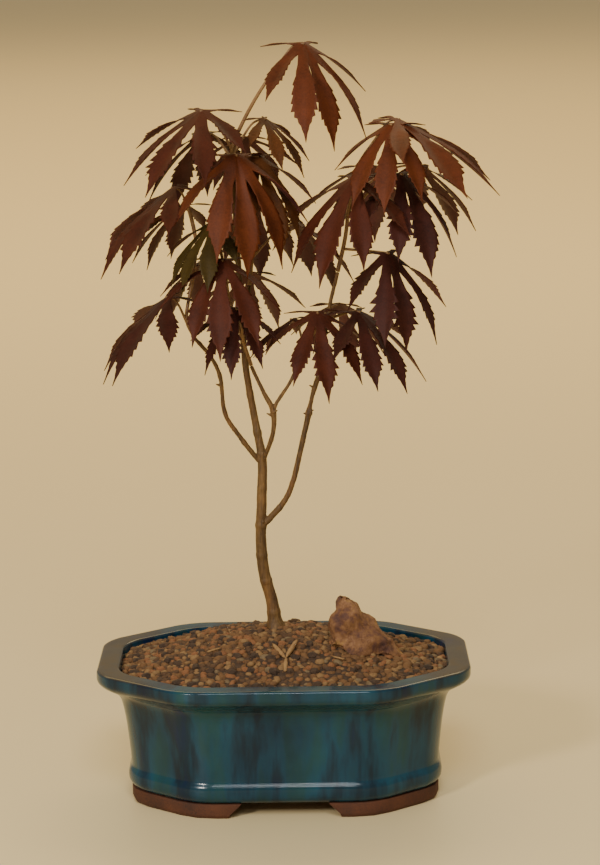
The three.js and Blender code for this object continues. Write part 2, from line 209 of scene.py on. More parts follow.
def speckleGroup():  # coarse mottling and fine grain over one object-space position
    group = bpy.data.node_groups.new("speckle", "ShaderNodeTree")
    for label, kind in speckleInputs:
        group.interface.new_socket(label, in_out="INPUT", socket_type=kind)
    for label in ("Mask", "Height"):
        group.interface.new_socket(label, in_out="OUTPUT", socket_type="NodeSocketFloat")
    source = addNode(group, "NodeGroupInput", -900, 0)
    sink = addNode(group, "NodeGroupOutput", 100, 0)
    place = addNode(group, "ShaderNodeTexCoord", -900, 300)
    stretch = addNode(group, "ShaderNodeVectorMath", -680, 200, operation="MULTIPLY")
    coarse = addNode(group, "ShaderNodeTexNoise", -440, 200, {"Detail": 4})
    fine = addNode(group, "ShaderNodeTexNoise", -440, -100, {"Detail": 3})
    blend = addNode(group, "ShaderNodeMix", -150, 100, data_type="FLOAT")
    wire(
        group,
        (place, "Object", stretch, 0), (source, "Stretch", stretch, 1),
        (stretch, "Vector", coarse, "Vector"), (source, "Coarse Scale", coarse, "Scale"),
        (stretch, "Vector", fine, "Vector"), (source, "Fine Scale", fine, "Scale"),
        (source, "Fine Share", blend, "Factor"), (coarse, "Fac", blend, "A"), (fine, "Fac", blend, "B"),
        (blend, "Result", sink, "Mask"), (fine, "Fac", sink, "Height"),
    )
    return group


speckle = speckleGroup()


def useSpeckle(tree, y, grain):
    values = {label: value for (label, kind), value in zip(speckleInputs, grain)}
    return addNode(tree, "ShaderNodeGroup", -1000, y, values, node_tree=speckle)


def bumpFrom(tree, pattern, output, shader, bump):  # bump: its strength and its distance
    node = addNode(tree, "ShaderNodeBump", -200, -350, {"Strength": bump[0], "Distance": bump[1]})
    wire(tree, (pattern, output, node, "Height"), (node, "Normal", shader, "Normal"))


def mottled(name, look):  # colour from a speckle, and roughness too where the look gives its ends
    material, tree, shader = newMaterial(name, look.get("sockets", {}))
    pattern = useSpeckle(tree, 0, look["grain"])
    ramp = rampNode(tree, -700, 100, look["stops"])
    wire(tree, (pattern, "Mask", ramp, "Fac"), (ramp, "Color", shader, "Base Color"))
    if "roughness" in look:
        ends = dict(zip(("To Min", "To Max"), look["roughness"]))
        rough = addNode(tree, "ShaderNodeMapRange", -700, -200, ends)
        wire(tree, (pattern, "Mask", rough, "Value"), (rough, "Result", shader, "Roughness"))
    bumpFrom(tree, pattern, "Height", shader, look["bump"])
    return material


def layered(name, look):  # one speckled colour multiplied by another; the bump comes from either
    material, tree, shader = newMaterial(name, look["sockets"])
    mixed = addNode(
        tree, "ShaderNodeMix", -400, 100, {"Factor": 1}, data_type="RGBA", blend_type="MULTIPLY"
    )
    patterns = []
    for y, grain, stops, socket in zip((250, -50), look["grains"], look["stops"], "AB"):
        patterns.append(useSpeckle(tree, y, grain))
        ramp = rampNode(tree, -750, y, stops)
        wire(tree, (patterns[-1], "Mask", ramp, "Fac"), (ramp, "Color", mixed, socket))
    wire(tree, (mixed, "Result", shader, "Base Color"))
    number, output = look["bumpOf"]
    bumpFrom(tree, patterns[number], output, shader, look["bump"])
    return material, mixed, patterns


cameraSetup = {
    "place": Vector((0.0069, -1.5019, 0.4788)),
    "tilt": 79.5,  # degrees, with 90 for a level view
    "heading": 0.16,
    "roll": -0.83,
    "lens": 116.5,
    "clipEnd": 200,
}


def addCamera():
    bpy.ops.object.camera_add()
    camera = bpy.context.object
    camera.name = "frontCamera"
    tilt, heading, roll = (math.radians(cameraSetup[angle]) for angle in ("tilt", "heading", "roll"))
    turned = Euler((tilt, 0, heading)).to_matrix() @ Matrix.Rotation(roll, 3, "Z")
    camera.matrix_world = Matrix.Translation(cameraSetup["place"]) @ turned.to_4x4()
    camera.data.lens = cameraSetup["lens"]
    camera.data.clip_end = cameraSetup["clipEnd"]
    bpy.context.scene.camera = camera


studio = {
    "floorSize": 90,
    "floorCuts": 4,
    "floor": {"Base Color": (0.78, 0.63, 0.35, 1), "Roughness": 0.45},
    "sky": {"Color": (1.0, 0.84, 0.58, 1), "Strength": 0.43},
    # name: place, the spot it faces, width, height, power in watts, colour
    "softboxes": {
        "key": ((-0.95, -1.5, 0.95), (0, 0, 0.18), 0.25, 0.25, 20, (1.0, 0.94, 0.85)),
        "strip": ((0.05, -1.75, 1.75), (0, 0, 0.18), 0.8, 0.7, 25, (0.95, 0.98, 1.0)),
        "centre": ((0.02, -1.9, 1.04), (0, 0, 0.18), 0.10, 0.05, 2.0, (1.0, 1.0, 1.0)),
        "rear": ((0.9, 2.0, 2.0), (0, 0, 0.18), 1.2, 1.2, 8, (1.0, 0.88, 0.66)),
        "overFloor": ((-0.3, 4.4, 3.2), (-0.3, 5.7, 0), 4.0, 7.0, 225, (1.0, 0.74, 0.32)),
    },
}


def addStudio():
    deselect()
    cuts = studio["floorCuts"]
    bpy.ops.mesh.primitive_grid_add(x_subdivisions=cuts, y_subdivisions=cuts, size=studio["floorSize"])
    floor = bpy.context.object
    floor.name = "floor"
    paint(floor, newMaterial("paleFloor", studio["floor"])[0])
    for name, (place, facing, width, height, power, color) in studio["softboxes"].items():
        bpy.ops.object.light_add(type="AREA", location=place)
        lamp = bpy.context.object
        lamp.name = name
        lamp.rotation_euler = (Vector(facing) - Vector(place)).to_track_quat("-Z", "Y").to_euler()
        lamp.data.shape = "RECTANGLE"
        lamp.data.size = width
        lamp.data.size_y = height
        lamp.data.energy = power
        lamp.data.color = color
    world = bpy.data.worlds.new("studioSky")
    world.use_nodes = True
    setInputs(world.node_tree.nodes["Background"], studio["sky"])
    bpy.context.scene.world = world


feetSetup = {
    "edge": 0.9,
    "segments": 3,
    "bevelOver": 32,  # degrees
    "smoothUnder": 40,
    "look": {
        "stops": [
            (0.28, (0.022, 0.008, 0.004)), (0.48, (0.066, 0.019, 0.006)), (0.72, (0.112, 0.034, 0.010)),
        ],
        "grain": (60, 1300, (1, 1, 1), 0.45),
        "roughness": (0.7, 0.92),
        "bump": (0.5, 0.3 * mm),
    },
}
clay = mottled("redClay", feetSetup["look"])  # the pot's underside is of it too


def buildFeet():
    for node in [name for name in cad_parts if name.startswith("foot_")]:
        foot = copyNode(node, "clay" + node.title().replace("_", ""))
        edge = foot.modifiers.new("wornEdge", "BEVEL")
        edge.width = feetSetup["edge"] * mm
        edge.segments = feetSetup["segments"]
        edge.limit_method = "ANGLE"
        edge.angle_limit = math.radians(feetSetup["bevelOver"])
        applyAll(foot)
        bpy.ops.object.shade_smooth_by_angle(angle=math.radians(feetSetup["smoothUnder"]))
        paint(foot, clay)
        dress(foot, "bare_clay", node)


potSetup = {
    "cornerCut": (47, 39),  # of the length and of the width, at the rim
    "cornerRound": 11,
    "cornerSegments": 8,
    # inset from the rim and height, down the outside from under the lip's edge
    "outside": [
        (0, 74.2), (0, 71.6), (0.1, 70.3), (0.6, 68.9), (2.1, 67.2), (4.6, 65.6), (7.4, 64.1),
        (9.8, 62.2), (11.6, 60.1), (12.9, 57.2), (13.8, 53.4), (14.6, 49), (15.4, 43.5), (16, 38),
        (16.6, 32.5), (17.1, 27), (17.4, 22.4), (17.5, 20.8), (17.3, 19.9), (16.8, 19.0), (16.2, 17.9),
        (15.9, 16.6), (15.8, 15.0), (15.9, 13.2), (16.3, 11.7), (17.0, 10.4), (18.0, 9.2), (19.4, 8.5),
    ],
    # over the lip and down the inside
    "inside": [
        (0, 74.2), (0.25, 74.85), (0.8, 75.3), (1.6, 75.5), (3, 75.5), (10.6, 75.5), (11.4, 75.3),
        (11.9, 74.8), (12.1, 74), (12.3, 71), (14, 66), (20, 60), (23, 38), (24.4, 20.5), (30, 14.5),
    ],
    "upright": 0.9,  # how squarely an end face looks up or down, from 0 to 1
    "mergeWithin": 0.02,
    "bareBelow": 0.2,  # the underside is bare clay
    "glaze": {
        # long runs down the wall, then wide pools
        "grains": ((55, 160, (1, 1, 0.16), 0.3), (26, 90, (1, 1, 0.5), 0.3)),
        "stops": (
            [  # navy, deep, teal, green and teal again
                (0.30, (0.004, 0.014, 0.058)), (0.42, (0.006, 0.022, 0.038)), (0.50, (0.006, 0.045, 0.078)),
                (0.58, (0.008, 0.047, 0.058)), (0.68, (0.006, 0.045, 0.078)),
            ],
            [(0.35, (0.55, 0.55, 0.6)), (0.62, (1.25, 1.2, 1.15))],
        ),
        "sockets": {"Roughness": 0.19, "IOR": 1.32, "Coat Weight": 0.1, "Coat Roughness": 0.06},
        "bumpOf": (1, "Mask"),
        "bump": (0.3, 0.8 * mm),
    },
    "brown": {  # where the glaze runs thin: over the rim, and the more the further from the middle
        "color": (0.058, 0.030, 0.004, 1),
        "height": (74.2 * mm, 74.2 * mm + 1.6 * mm),  # where it begins and where it is full
        "away": (66 * mm, 84 * mm),
        "most": 1.9,
    },
}


def glazeMaterial():
    brown = potSetup["brown"]
    material, mixed, patterns = layered("tealGlaze", potSetup["glaze"])
    tree = material.node_tree
    place = addNode(tree, "ShaderNodeTexCoord", -1100, -350)
    split = addNode(tree, "ShaderNodeSeparateXYZ", -900, -350)
    high = addNode(tree, "ShaderNodeMapRange", -700, -350, {
        "From Min": brown["height"][0], "From Max": brown["height"][1],
    })
    aside = addNode(tree, "ShaderNodeMath", -900, -600, {1: potMiddle.x}, operation="SUBTRACT")
    away = addNode(tree, "ShaderNodeMath", -720, -600, operation="ABSOLUTE")
    ends = addNode(tree, "ShaderNodeMapRange", -540, -600, {
        "From Min": brown["away"][0], "From Max": brown["away"][1], "To Max": brown["most"],
    })
    thin = addNode(tree, "ShaderNodeMath", -520, -350, operation="MULTIPLY")
    share = addNode(tree, "ShaderNodeMath", -350, -350, operation="MULTIPLY")
    rimmed = addNode(tree, "ShaderNodeMix", -200, 200, data_type="RGBA")
    rimmed.inputs["B"].default_value = brown["color"]
    wire(
        tree,
        (place, "Object", split, "Vector"), (split, "Z", high, "Value"),
        (high, "Result", thin, 0), (patterns[0], "Mask", thin, 1),
        (split, "X", aside, 0), (aside, "Value", away, 0), (away, "Value", ends, "Value"),
        (thin, "Value", share, 0), (ends, "Result", share, 1), (share, "Value", rimmed, "Factor"),
        (mixed, "Result", rimmed, "A"),
        (rimmed, "Result", tree.nodes["Principled BSDF"], "Base Color"),
    )
    return material


def outlineCorners():  # of the sharp rim, anticlockwise from the right side's front end
    halfX = (potHigh.x - potLow.x) / 2
    halfY = (potHigh.y - potLow.y) / 2
    flatX = halfX - potSetup["cornerCut"][0] * mm
    flatY = halfY - potSetup["cornerCut"][1] * mm
    return [
        (halfX, -flatY), (halfX, flatY), (flatX, halfY), (-flatX, halfY),
        (-halfX, flatY), (-halfX, -flatY), (-flatX, -halfY), (flatX, -halfY),
    ]


potCorners = outlineCorners()
cornerTurns = [math.atan2(y, x) for x, y in potCorners]


def cornerNumber(place):  # which corner's ray a point lies nearest to
    turn = math.atan2(place.y, place.x)
    return min(range(8), key=lambda i: abs(math.remainder(turn - cornerTurns[i], 2 * math.pi)))


def stepFace(inward, outward):  # moves the chosen end face in from the outline and along its own normal
    if inward > 0:
        bpy.ops.mesh.inset(thickness=inward, depth=outward, use_even_offset=True)
        return
    mesh = bmesh.from_edit_mesh(bpy.context.object.data)
    face = next(f for f in mesh.faces if f.select)
    halfX = max(abs(v.co.x - potMiddle.x) for v in face.verts)
    halfY = max(abs(v.co.y) for v in face.verts)
    shift = face.normal * outward
    bpy.ops.mesh.extrude_region_move(TRANSFORM_OT_translate={"value": shift})
    bpy.ops.transform.resize(value=(1 - inward / halfX, 1 - inward / halfY, 1), center_override=potMiddle)


def choose(obj, kind, test):  # in edit mode, faces or edges by their place or normal
    bpy.ops.mesh.select_mode(type=kind)
    bpy.ops.mesh.select_all(action="DESELECT")
    mesh = bmesh.from_edit_mesh(obj.data)
    for item in mesh.faces if kind == "FACE" else mesh.edges:
        item.select = test(item)
    mesh.select_flush_mode()
    bmesh.update_edit_mesh(obj.data)


def buildPot():
    shape = potSetup
    deselect()
    top, low = shape["outside"][0][1], shape["outside"][1][1]
    middle = at(0, 0, (top + low) / 2)
    bpy.ops.mesh.primitive_cylinder_add(vertices=8, depth=(top - low) * mm, location=middle)
    pot = settle(bpy.context.object)
    pot.name = "glazedPot"
    bpy.ops.object.mode_set(mode="EDIT")
    mesh = bmesh.from_edit_mesh(pot.data)
    for vertex in mesh.verts:
        place = vertex.co - potMiddle
        vertex.co.x, vertex.co.y = potCorners[round(math.atan2(place.y, place.x) / (math.pi / 4)) % 8]
        vertex.co.x += potMiddle.x
    bmesh.update_edit_mesh(pot.data)
    for profile, way in ((shape["outside"][1:], -1), (shape["inside"], 1)):
        choose(pot, "FACE", lambda face: face.normal.z * way > shape["upright"])
        for (inset, z), (nextInset, nextZ) in zip(profile, profile[1:]):
            stepFace((nextInset - inset) * mm, (nextZ - z) * mm * way)
    choose(pot, "EDGE", lambda edge: len({cornerNumber(v.co - potMiddle) for v in edge.verts}) == 1)
    bpy.ops.mesh.bevel(
        offset=shape["cornerRound"] * mm, segments=shape["cornerSegments"],
        affect="EDGES", clamp_overlap=False,
    )
    bpy.ops.mesh.select_all(action="SELECT")
    bpy.ops.mesh.remove_doubles(threshold=shape["mergeWithin"] * mm)
    bpy.ops.mesh.normals_make_consistent(inside=False)
    bpy.ops.object.mode_set(mode="OBJECT")
    bpy.ops.object.shade_smooth()
    pot.modifiers.new("flatWalls", "WEIGHTED_NORMAL").keep_sharp = True
    applyAll(pot)
    paint(pot, glazeMaterial(), clay)
    for face in pot.data.polygons:
        face.material_index = 1 if face.center.z < potLow.z + shape["bareBelow"] * mm else 0
    dress(pot, "glaze", "pot")


gravelSetup = {
    "seed": 7,
    "forms": 6,  # of pebble, each used many times
    "knocked": 0.30,  # how far a pebble's points are knocked about, as a share of its size
    "rounding": 0.9,
    "spacing": 3.9,
    "rowShare": 0.87,  # the rows stand closer than the stones in a row
    "jitter": 0.75,
    "layers": 2,
    "layerShift": (0.5, 0.33),  # of the upper layer, along and across, in spacings
    "tumble": 0.9,
    "turn": 6.283,  # all the way round
    "lift": (0.5, 0.2),  # how much it varies from stone to stone, and the share of that below the bed
    "layerLift": 0.9,
    "sunk": 0.6,
    "length": (4.1, 6.8),
    "width": (0.62, 0.9),  # share of the length
    "height": (0.5, 0.75),
    "levelReach": 3.5,  # how far round itself a stone feels for the bed
    "clearOfTrunk": 5,
    "look": {
        "grain": (320, 1500, (1, 1, 1), 0.35),
        "roughness": (0.72, 0.95),
        "bump": (0.5, 0.35 * mm),
    },
    "bed": {
        "stops": [(0.3, (0.02, 0.011, 0.006)), (0.7, (0.07, 0.038, 0.02))],
        "grain": (260, 900, (1, 1, 1), 0.35),
        "roughness": (0.85, 1),
        "bump": (0.8, 0.6 * mm),
    },
    "tintPlaces": (0.30, 0.52, 0.72),
    # share of the stones, darkest and lightest colour
    "tints": {
        "Brown": (0.38, (0.066, 0.028, 0.008), (0.150, 0.070, 0.022)),
        "Tan": (0.16, (0.125, 0.064, 0.022), (0.225, 0.125, 0.046)),
        "Umber": (0.26, (0.034, 0.016, 0.006), (0.085, 0.040, 0.015)),
        "Rust": (0.15, (0.105, 0.036, 0.010), (0.210, 0.085, 0.028)),
        "Ash": (0.04, (0.085, 0.052, 0.024), (0.160, 0.106, 0.050)),
        "Pale": (0.01, (0.180, 0.092, 0.032), (0.300, 0.172, 0.066)),
    },
    # pale splinters in front of the trunk: x, y, turn in degrees, length
    "splinters": [
        (-2.5, -27, -63, 18), (4.5, -27, 70, 18), (1.2, -40, 88, 15), (-38, -22, 12, 9), (30, -34, 160, 8),
    ],
    "splinterShape": (1, 0.15, 0.14),
    "splinterLift": 2.8,
}


def pebbleForms(draw):  # a rounded cube, knocked about
    forms = []
    for _ in range(gravelSetup["forms"]):
        deselect()
        bpy.ops.mesh.primitive_cube_add(size=1)
        cube = bpy.context.object
        editAll(cube)
        bpy.ops.mesh.subdivide(number_cuts=1, smoothness=gravelSetup["rounding"])
        bpy.ops.object.mode_set(mode="OBJECT")
        points = np.array([vertex.co[:] for vertex in cube.data.vertices])
        points /= np.abs(points).max(0)
        points *= 1 + gravelSetup["knocked"] * (np.array([draw() for _ in points]) - 0.5)[:, None]
        forms.append((points / 2, [tuple(face.vertices) for face in cube.data.polygons]))
        bpy.data.objects.remove(cube)
    return forms


def buildGravel():
    setup = gravelSetup
    draw = seeded(setup["seed"])
    forms = pebbleForms(draw)
    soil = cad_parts["soil"]
    ground = BVHTree.FromObject(soil, bpy.context.evaluated_depsgraph_get())
    low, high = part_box("soil")
    foot = at(*trunkPath[1][:3])
    reach = setup["levelReach"] * mm
    tints = list(setup["tints"])
    shares = np.cumsum([setup["tints"][tint][0] for tint in tints])
    heaps = {tint: [] for tint in tints}

    def level(x, y):  # the bed between the solid's larger stones
        spots = [(x, y), (x - reach, y), (x + reach, y), (x, y - reach), (x, y + reach)]
        hits = [ground.ray_cast(Vector((*spot, high.z + 0.1)), Vector((0, 0, -1)))[0] for spot in spots]
        return None if hits[0] is None else min(hit.z for hit in hits if hit)

    def drop(tint, x, y, size, turn, lift):
        bed = level(x, y)
        if bed is None:
            return
        points, faces = forms[int(draw() * len(forms))]
        heaps[tint].append(((points * size) @ np.array(turn).T + np.array((x, y, bed + lift)), faces))

    def jitter():
        return setup["jitter"] * (draw() - 0.5)

    step = setup["spacing"] * mm
    rowShare = setup["rowShare"]
    shiftX, shiftY = setup["layerShift"]
    tumble = setup["tumble"]
    spread, below = setup["lift"]
    rows = int((high.y - low.y) / (rowShare * step)) + 1
    columns = int((high.x - low.x) / step) + 1
    for layer, row, column in np.ndindex(setup["layers"], rows, columns):
        x = low.x + (column + 0.5 * (row % 2) + shiftX * layer + jitter()) * step
        y = low.y + (row + shiftY * layer + jitter()) * rowShare * step
        tint = tints[int(np.searchsorted(shares, draw() * 0.999))]  # stays short of the last share's end
        length = mm * between(setup["length"], draw() ** 2)
        width = between(setup["width"], draw())
        height = between(setup["height"], draw())
        turn = Euler((tumble * (draw() - 0.5), tumble * (draw() - 0.5), setup["turn"] * draw())).to_matrix()
        lift = mm * (spread * (draw() - below) + setup["layerLift"] * layer - setup["sunk"])
        if (Vector((x, y)) - foot.xy).length >= setup["clearOfTrunk"] * mm:
            drop(tint, x, y, length * np.array((1, width, height)), turn, lift)
    for x, y, turn, length in setup["splinters"]:
        place = at(x, y, 0).xy
        half = length / 2 * mm * Vector((math.cos(math.radians(turn)), math.sin(math.radians(turn))))
        slope = math.atan2(level(*(place + half)) - level(*(place - half)), length * mm)
        lie = Matrix.Rotation(math.radians(turn), 3, "Z") @ Matrix.Rotation(-slope, 3, "Y")
        drop("Pale", *place, mm * length * np.array(setup["splinterShape"]), lie, setup["splinterLift"] * mm)
    for tint in tints:
        _, dark, light = setup["tints"][tint]
        piece = meshPiece("gravel" + tint, heaps[tint])
        stops = list(zip(setup["tintPlaces"], (dark, light, dark)))
        paint(piece, mottled("gravel" + tint, {**setup["look"], "stops": stops}))
        dress(piece, "grit")
    paint(soil, mottled("deepGrit", setup["bed"]))


stoneSetup = {
    "cuts": 3,
    "rounding": 0.15,
    # how close together, and how high in millimetres
    "lumps": (75, 4.2),
    "crags": (78, 3.2),
    "pits": (420, 0.5),
    "pitLayers": (0.9, 2.1, 4),  # how fast finer layers fade, how much finer each is, and how many
    "cragMiddle": 0.25,  # takes the crags' mean away, so that the stone keeps its size
    "sunk": 0.25,
    "smoothUnder": 34,  # degrees
    "look": {
        "grains": ((80, 380, (1, 1, 0.9), 0.25), (180, 1200, (1, 1, 1), 0.4)),  # bands, then dirt
        "stops": (
            [
                (0.35, (0.070, 0.028, 0.020)), (0.43, (0.125, 0.052, 0.026)), (0.48, (0.180, 0.080, 0.026)),
                (0.54, (0.230, 0.110, 0.050)), (0.61, (0.300, 0.155, 0.040)), (0.68, (0.150, 0.062, 0.034)),
            ],
            [(0.36, (0.55, 0.46, 0.42)), (0.52, (1, 1, 1))],
        ),
        "sockets": {"Roughness": 0.82},
        "bumpOf": (1, "Height"),
        "bump": (0.6, 0.5 * mm),
    },
}


def buildStone():
    setup = stoneSetup
    stone = copyNode("stone", "tanStone")
    editAll(stone)
    for _ in range(setup["cuts"]):
        bpy.ops.mesh.subdivide(number_cuts=1, smoothness=setup["rounding"])
    bpy.ops.object.mode_set(mode="OBJECT")

    def rockFace(place):
        distances, _ = noise.voronoi(place * setup["crags"][0])
        crag = (distances[1] - distances[0] - setup["cragMiddle"]) * setup["crags"][1]
        lump = noise.noise(place * setup["lumps"][0]) * setup["lumps"][1]
        pit = noise.fractal(place * setup["pits"][0], *setup["pitLayers"]) * setup["pits"][1]
        return lump + crag + pit - setup["sunk"]

    roughen(stone, rockFace)
    bpy.ops.object.shade_smooth_by_angle(angle=math.radians(setup["smoothUnder"]))
    paint(stone, layered("tanStone", setup["look"])[0])
    dress(stone, "rock", "stone")


# x, y, z and radius in millimetres, from the middle of the pot
trunkPath = [
    (-4.2, 8, 88, 6), (-5, 8, 94.5, 3.9), (-6.4, 8, 105, 3.3), (-10.3, 7, 121, 3.2),
    (-11.7, 6, 139, 3), (-10.9, 5, 162, 2.8), (-10.3, 4, 185, 2.5), (-13.8, 4, 207, 2),
    (-18.6, 3, 240, 1.8), (-21.4, 2, 295, 1.6), (-23.2, 0, 341, 1.3),
]
boughPaths = {
    "bough_left": [
        (-10, 4, 182, 1.4), (-15, 2, 188.5, 1.4), (-22, -1, 198.6, 1.3), (-29.9, -4, 212.5, 1.2),
        (-32.1, -6, 232.7, 1.15), (-37.3, -7, 244.5, 1.1), (-45.5, -8, 254.6, 1),
    ],
    "bough_right": [
        (-11, 5, 148, 1.8), (-6, 4.5, 152.5, 1.8), (4.8, 2, 168, 1.5), (13.5, 0, 201.8, 1.5),
        (15.6, 0, 211, 1.8), (16.4, 0, 215, 1.25), (17.8, 0, 221, 1.2), (20.2, 1, 228.5, 1.5),
        (22.6, 1.5, 236, 1.15), (24.5, 2, 251, 1.1), (28, 2, 270.6, 1.1), (32.3, 1, 288, 1),
    ],
    "bough_middle": [
        (-10.3, 4, 183, 1.4), (-8.4, 1, 188, 1.3), (-4, -4, 201, 1.2), (-3.7, -6, 213.6, 1.6),
        (-8.6, -7, 224, 1.1), (-15.2, -7, 238.7, 1),
    ],
    "bough_back": [
        (-18.8, 3, 243, 1.4), (-19, 8, 250, 1.3), (-18, 18, 262, 1.2), (-16, 27, 278, 1.1),
    ],
    "bough_middle_fork": [
        (-3.7, -6, 213, 1), (-1.2, -6, 219, 1), (5.6, -6, 229, 0.9), (10.8, -5, 240.2, 0.9),
    ],
}

barkSetup = {
    "seed": 23,
    "stepLength": 1.5,
    "roundness": 5,
    "voxel": 0.36,
    "softening": (0.5, 5),  # how strong, and how many times
    # old leaf scars ring the wood: how far apart, how wide, how high as a share of the radius
    "knuckleSpacing": 17,
    "knuckleWidth": 1.3,
    "knuckleSwell": 0.13,
    "swellRange": (0.6, 0.8),  # the least share, and what chance adds to it
    "spacingRange": (0.65, 0.7),
    "fissure": 0.16,
    "lines": (1100, 1100, 130),  # cracks along the wood: how close together in x, y and z
    "rings": (240, 240, 900),
    "ringShare": 0.5,
    "stubRadius": (0.75, 0.35),  # at the wood, and what it loses to the tip
    # dried stubs: a point on the wood, the way it points and its length
    "stubs": [
        ((20.4, 0, 229), (0.75, -0.55, 0.65), 5.5), ((18.9, 0, 225), (-0.8, -0.3, 0.5), 3.5),
        ((15.8, -0.5, 212), (0.8, -0.4, 0.35), 3.2), ((15.2, -0.5, 210.5), (-0.85, -0.4, 0.3), 3),
        ((-3.6, -7, 213), (0.8, -0.5, 0.5), 3.2), ((-4.3, -6, 211), (-0.9, -0.2, 0.45), 3.5),
        ((-11, 4, 150), (0.5, -0.85, 0.1), 2.6), ((-12, 3.6, 188), (-0.2, -0.95, 0.3), 2.4),
        ((-32, -6, 228), (-0.9, -0.3, 0.35), 3), ((25, 2, 254), (0.85, -0.3, 0.5), 4),
    ],
    "look": {
        # long cracks, then patches
        "grains": ((260, 1400, (1, 1, 0.14), 0.45), (34, 300, (1, 1, 0.6), 0.25)),
        "stops": (
            [
                (0.32, (0.028, 0.014, 0.004)), (0.48, (0.100, 0.051, 0.013)), (0.60, (0.158, 0.086, 0.023)),
                (0.74, (0.240, 0.145, 0.048)),
            ],
            [(0.36, (0.62, 0.60, 0.50)), (0.50, (1, 0.95, 0.85)), (0.66, (1.1, 0.9, 0.8))],
        ),
        "sockets": {"Roughness": 0.68},
        "bumpOf": (0, "Mask"),
        "bump": (0.6, 0.3 * mm),
    },
}


def smoothPath(path, steps):  # even curve through the points, as in the solids' limbs
    points = [np.array(point, float) for point in path]
    points = [2 * points[0] - points[1]] + points + [2 * points[-1] - points[-2]]
    rows = []
    for k in range(steps + 1):
        place = k / steps * (len(path) - 1)
        i = min(int(place), len(path) - 2)
        t = place - i
        a, b, c, d = points[i:i + 4]
        slopeB, slopeC = 0.5 * (c - a), 0.5 * (d - b)
        row = (b + slopeB * t + (3 * (c - b) - 2 * slopeB - slopeC) * t * t
               + (2 * (b - c) + slopeB + slopeC) * t ** 3)
        row[3:] = b[3:] + (c[3:] - b[3:]) * t
        rows.append(row)
    return np.array(rows)


def limbCurve(rows):  # one poly curve with its own radius at each point, turned to a mesh
    bpy.ops.curve.primitive_bezier_curve_add()
    curve = bpy.context.object
    curve.data.splines.clear()
    spline = curve.data.splines.new("POLY")
    spline.points.add(len(rows) - 1)
    for point, (x, y, z, radius) in zip(spline.points, rows):
        point.co = (*at(x, y, z), 1)
        point.radius = radius
    curve.data.dimensions = "3D"
    curve.data.bevel_depth = mm
    curve.data.bevel_resolution = barkSetup["roundness"]
    curve.data.use_fill_caps = True
    bpy.ops.object.convert(target="MESH")
    return bpy.context.object


def buildWood():
    setup = barkSetup
    draw = seeded(setup["seed"])
    deselect()
    parts = []
    for path in [trunkPath, *boughPaths.values()]:
        length = sum(math.dist(a[:3], b[:3]) for a, b in zip(path, path[1:]))
        rows = smoothPath(path, int(length / setup["stepLength"]))
        along = np.concatenate([[0], np.cumsum(np.linalg.norm(np.diff(rows[:, :3], axis=0), axis=1))])
        spot = setup["knuckleSpacing"] * (0.5 + draw())
        while spot < length:
            least, more = setup["swellRange"]
            swell = setup["knuckleSwell"] * (least + more * draw())
            rows[:, 3] *= 1 + swell * np.exp(-((along - spot) / setup["knuckleWidth"]) ** 2)
            least, more = setup["spacingRange"]
            spot += setup["knuckleSpacing"] * (least + more * draw())
        parts.append(limbCurve(rows))
    radius, loss = setup["stubRadius"]
    for foot, way, length in setup["stubs"]:
        heading = np.array(way) / np.linalg.norm(way)
        places = [(np.array(foot) + heading * length * share, share) for share in (0, 0.5, 1)]
        parts.append(limbCurve([(*place, radius - loss * share) for place, share in places]))
    deselect()
    for part in parts:
        part.select_set(True)
    bpy.context.view_layer.objects.active = parts[0]
    bpy.ops.object.join()
    wood = settle(bpy.context.object)
    wood.name = "barkedWood"
    remesh = wood.modifiers.new("grownTogether", "REMESH")
    remesh.mode = "VOXEL"
    remesh.voxel_size = setup["voxel"] * mm
    soften = wood.modifiers.new("soften", "SMOOTH")
    soften.factor, soften.iterations = setup["softening"]
    applyAll(wood)

    def fissures(place):
        lines = noise.noise(place * Vector(setup["lines"]))
        rings = noise.noise(place * Vector(setup["rings"]))
        return (lines + setup["ringShare"] * rings) * setup["fissure"]

    roughen(wood, fissures)
    bpy.ops.object.shade_smooth()
    paint(wood, layered("mapleBark", setup["look"])[0])
    dress(wood, "bark", "trunk", *boughPaths)


